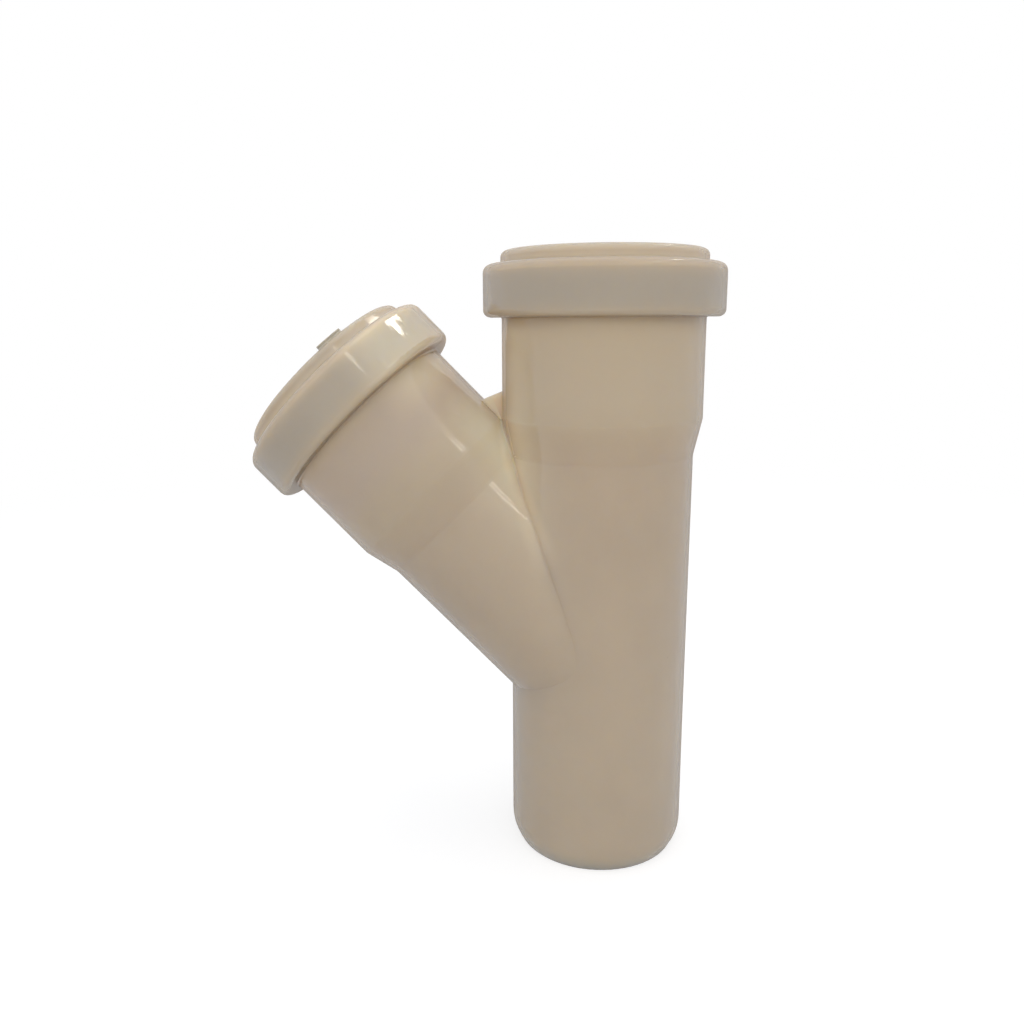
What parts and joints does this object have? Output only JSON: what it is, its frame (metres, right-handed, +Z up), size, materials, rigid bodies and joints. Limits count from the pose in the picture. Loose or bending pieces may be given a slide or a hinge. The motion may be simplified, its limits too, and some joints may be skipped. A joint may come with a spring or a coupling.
{
  "type": "pipe tee",
  "caption": "Forty-five degree branch tee for push-fit waste pipe: plain spigot below, socket above, angled branch socket of equal bore, ring chambers with rubber lip seals.",
  "frame": {"origin": "centre of the spigot's end, on the axis of the run, where the fitting stands", "axes": "+Z up the run's axis from the spigot to the run's socket; the branch leaves towards -X and up at 45 degrees; +Y completes the frame, across the plane of the two axes"},
  "size_m": [0.1047, 0.052, 0.1357],
  "materials": {
    "body_plastic": "moulded off-white polypropylene, semi-gloss, faintly translucent",
    "seal_rubber": "moulded dark rubber, matt"
  },
  "bodies": {
    "root": {"tee_body": "body_plastic", "run_seal": "seal_rubber", "branch_seal": "seal_rubber"}
  },
  "joints": []
}
